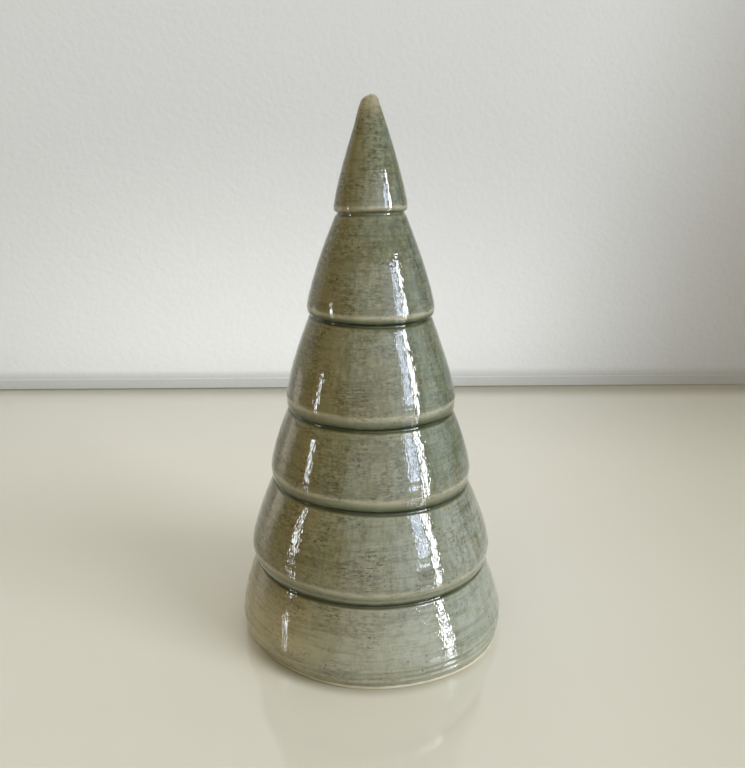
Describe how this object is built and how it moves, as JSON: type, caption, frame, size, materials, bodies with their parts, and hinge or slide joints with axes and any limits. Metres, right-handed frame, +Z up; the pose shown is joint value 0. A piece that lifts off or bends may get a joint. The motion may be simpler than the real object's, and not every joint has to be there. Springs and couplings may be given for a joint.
{
  "type": "christmas tree figurine",
  "caption": "Hollow wheel-thrown stoneware Christmas tree: a cone of stepped, grooved tiers with a glossy grey-green glaze, open underneath, on a bare flat foot ring.",
  "frame": {"origin": "centre of the foot ring, on the surface that the tree stands on", "axes": "+Z up along the turning axis, from the foot to the tip; the body is the same all round, and -Y is the side that faces the camera in the picture"},
  "size_m": [0.0826, 0.0826, 0.16],
  "materials": {
    "bare_stoneware": "matte",
    "celadon_glaze": "gloss"
  },
  "bodies": {
    "root": {"clay_body": "bare_stoneware", "glaze_coat": "celadon_glaze"}
  },
  "joints": []
}
